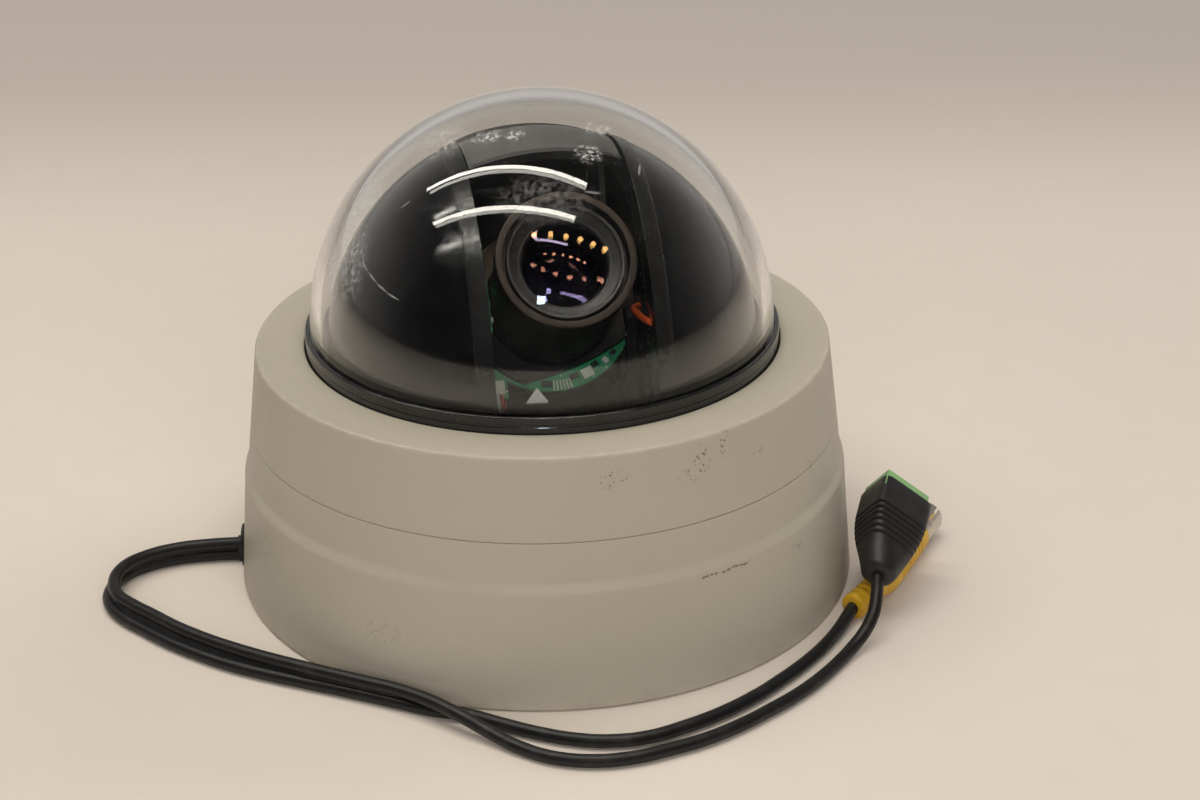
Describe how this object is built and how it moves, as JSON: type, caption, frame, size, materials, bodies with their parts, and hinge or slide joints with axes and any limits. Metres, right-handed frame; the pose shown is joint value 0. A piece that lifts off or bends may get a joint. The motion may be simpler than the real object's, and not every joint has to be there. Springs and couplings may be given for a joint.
{
  "type": "dome pan-tilt-zoom camera",
  "caption": "Round ceiling camera with a clear dome, a lens that pans, tilts and zooms behind it, and a twin lead with a power and a video connector.",
  "frame": {"origin": "centre of the round mounting face", "axes": "+Z from the mounting face to the dome's top, -Y towards the side the lens looks to, +X right when seen from there"},
  "size_m": [0.2065, 0.1738, 0.1182],
  "materials": {
    "plate_metal": "zinc-plated, dull",
    "shell_paint": "satin, faintly metallic, scuffed",
    "ring_black": "gloss",
    "clear_dome": "clear, scuffed",
    "seal_rubber": "matte",
    "black_plastic": "satin",
    "screw_steel": "plated",
    "bearing_steel": "polished",
    "board_green": "solder mask",
    "brass_part": "turned",
    "motor_can": "satin",
    "cord_black": "satin",
    "adapter_black": "satin",
    "terminal_green": "satin",
    "plug_yellow": "satin",
    "plug_metal": "nickel",
    "gear_white": "acetal",
    "liner_black": "gloss",
    "lens_ring_metal": "satin",
    "bezel_grey": "satin",
    "lens_glass": "coated",
    "shield_grey": "satin"
  },
  "bodies": {
    "housing": {"base_plate": "plate_metal", "housing_base": "shell_paint", "housing_cover": "shell_paint", "clamp_ring": "ring_black", "dome_cover": "clear_dome", "dome_gasket": "seal_rubber", "dome_retainer": "black_plastic", "housing_screws": "screw_steel", "small_screws": "screw_steel", "chassis_posts": "plate_metal", "chassis_plate": "plate_metal", "pan_hub": "plate_metal", "bearing_inner": "bearing_steel", "bearing_balls": "bearing_steel", "main_board": "board_green", "board_standoffs": "brass_part", "board_parts": "black_plastic", "pan_motor": "motor_can", "slip_ring_stator": "black_plastic", "cable_grommet": "seal_rubber", "power_cord": "cord_black", "video_cord": "cord_black", "power_adapter": "adapter_black", "terminal_block": "terminal_green", "terminal_screws": "screw_steel", "video_plug_boot": "plug_yellow", "video_plug_shell": "plug_metal", "video_plug_pin": "plug_metal"},
    "rotor": {"turntable": "black_plastic", "pan_gear": "gear_white", "bearing_outer": "bearing_steel", "yoke_left": "black_plastic", "yoke_right": "black_plastic", "yoke_screws": "screw_steel", "tilt_bushes": "brass_part", "liner_left": "liner_black", "liner_right": "liner_black", "liner_bridge": "black_plastic", "rotor_board": "board_green", "slip_ring_rotor": "black_plastic", "tilt_motor": "motor_can"},
    "pan_drive": {"pan_pinion": "brass_part"},
    "tilt_drive": {"tilt_pinion": "brass_part"},
    "head": {"head_frame": "black_plastic", "camera_block": "black_plastic", "camera_board": "board_green", "sensor_board": "board_green", "lens_mount": "black_plastic", "lens_barrel": "black_plastic", "lens_ring": "lens_ring_metal", "lens_bezel": "bezel_grey", "front_lens": "lens_glass", "guide_rods": "bearing_steel", "lens_motors": "motor_can", "tilt_gear": "black_plastic", "slot_shield": "shield_grey"},
    "zoom_group": {"zoom_cell": "black_plastic"},
    "focus_group": {"focus_cell": "black_plastic"},
    "zoom_drive": {"zoom_screw": "bearing_steel"},
    "focus_drive": {"focus_screw": "bearing_steel"}
  },
  "joints": [
    {"name": "pan", "type": "hinge", "parent": "housing", "child": "rotor", "pos_m": [0, 0, 0], "axis": [0, 0, 1], "continuous": true},
    {"name": "pan_motor_turn", "type": "hinge", "parent": "housing", "child": "pan_drive", "pos_m": [-0.021, 0.03637, 0], "axis": [0, 0, 1], "continuous": true},
    {"name": "tilt", "type": "hinge", "parent": "rotor", "child": "head", "pos_m": [0, 0, 0.063], "axis": [-0.9877, -0.1564, 0], "range_deg": [-34, 51]},
    {"name": "tilt_motor_turn", "type": "hinge", "parent": "rotor", "child": "tilt_drive", "pos_m": [-0.00239, 0.01508, 0.04773], "axis": [-0.9877, -0.1564, 0], "range_deg": [-260, 175]},
    {"name": "zoom", "type": "slide", "parent": "head", "child": "zoom_group", "axis": [0.1216, -0.7676, 0.6293], "range_m": [-0.008, 0.006]},
    {"name": "focus", "type": "slide", "parent": "head", "child": "focus_group", "axis": [0.1216, -0.7676, 0.6293], "range_m": [-0.002, 0.002]},
    {"name": "zoom_screw_turn", "type": "hinge", "parent": "head", "child": "zoom_drive", "pos_m": [0.00762, 0.00624, 0.06914], "axis": [0.1216, -0.7676, 0.6293], "range_deg": [-1450, 1090]},
    {"name": "focus_screw_turn", "type": "hinge", "parent": "head", "child": "focus_drive", "pos_m": [-0.00762, -0.00624, 0.05686], "axis": [0.1216, -0.7676, 0.6293], "range_deg": [-730, 730]}
  ],
  "couplings": [
    {"joint": "pan_motor_turn", "follows": "pan", "ratio": -6},
    {"joint": "tilt_motor_turn", "follows": "tilt", "ratio": -5},
    {"joint": "zoom_screw_turn", "follows": "zoom", "rad_per_m": 3141.6},
    {"joint": "focus_screw_turn", "follows": "focus", "rad_per_m": 6283.2}
  ]
}
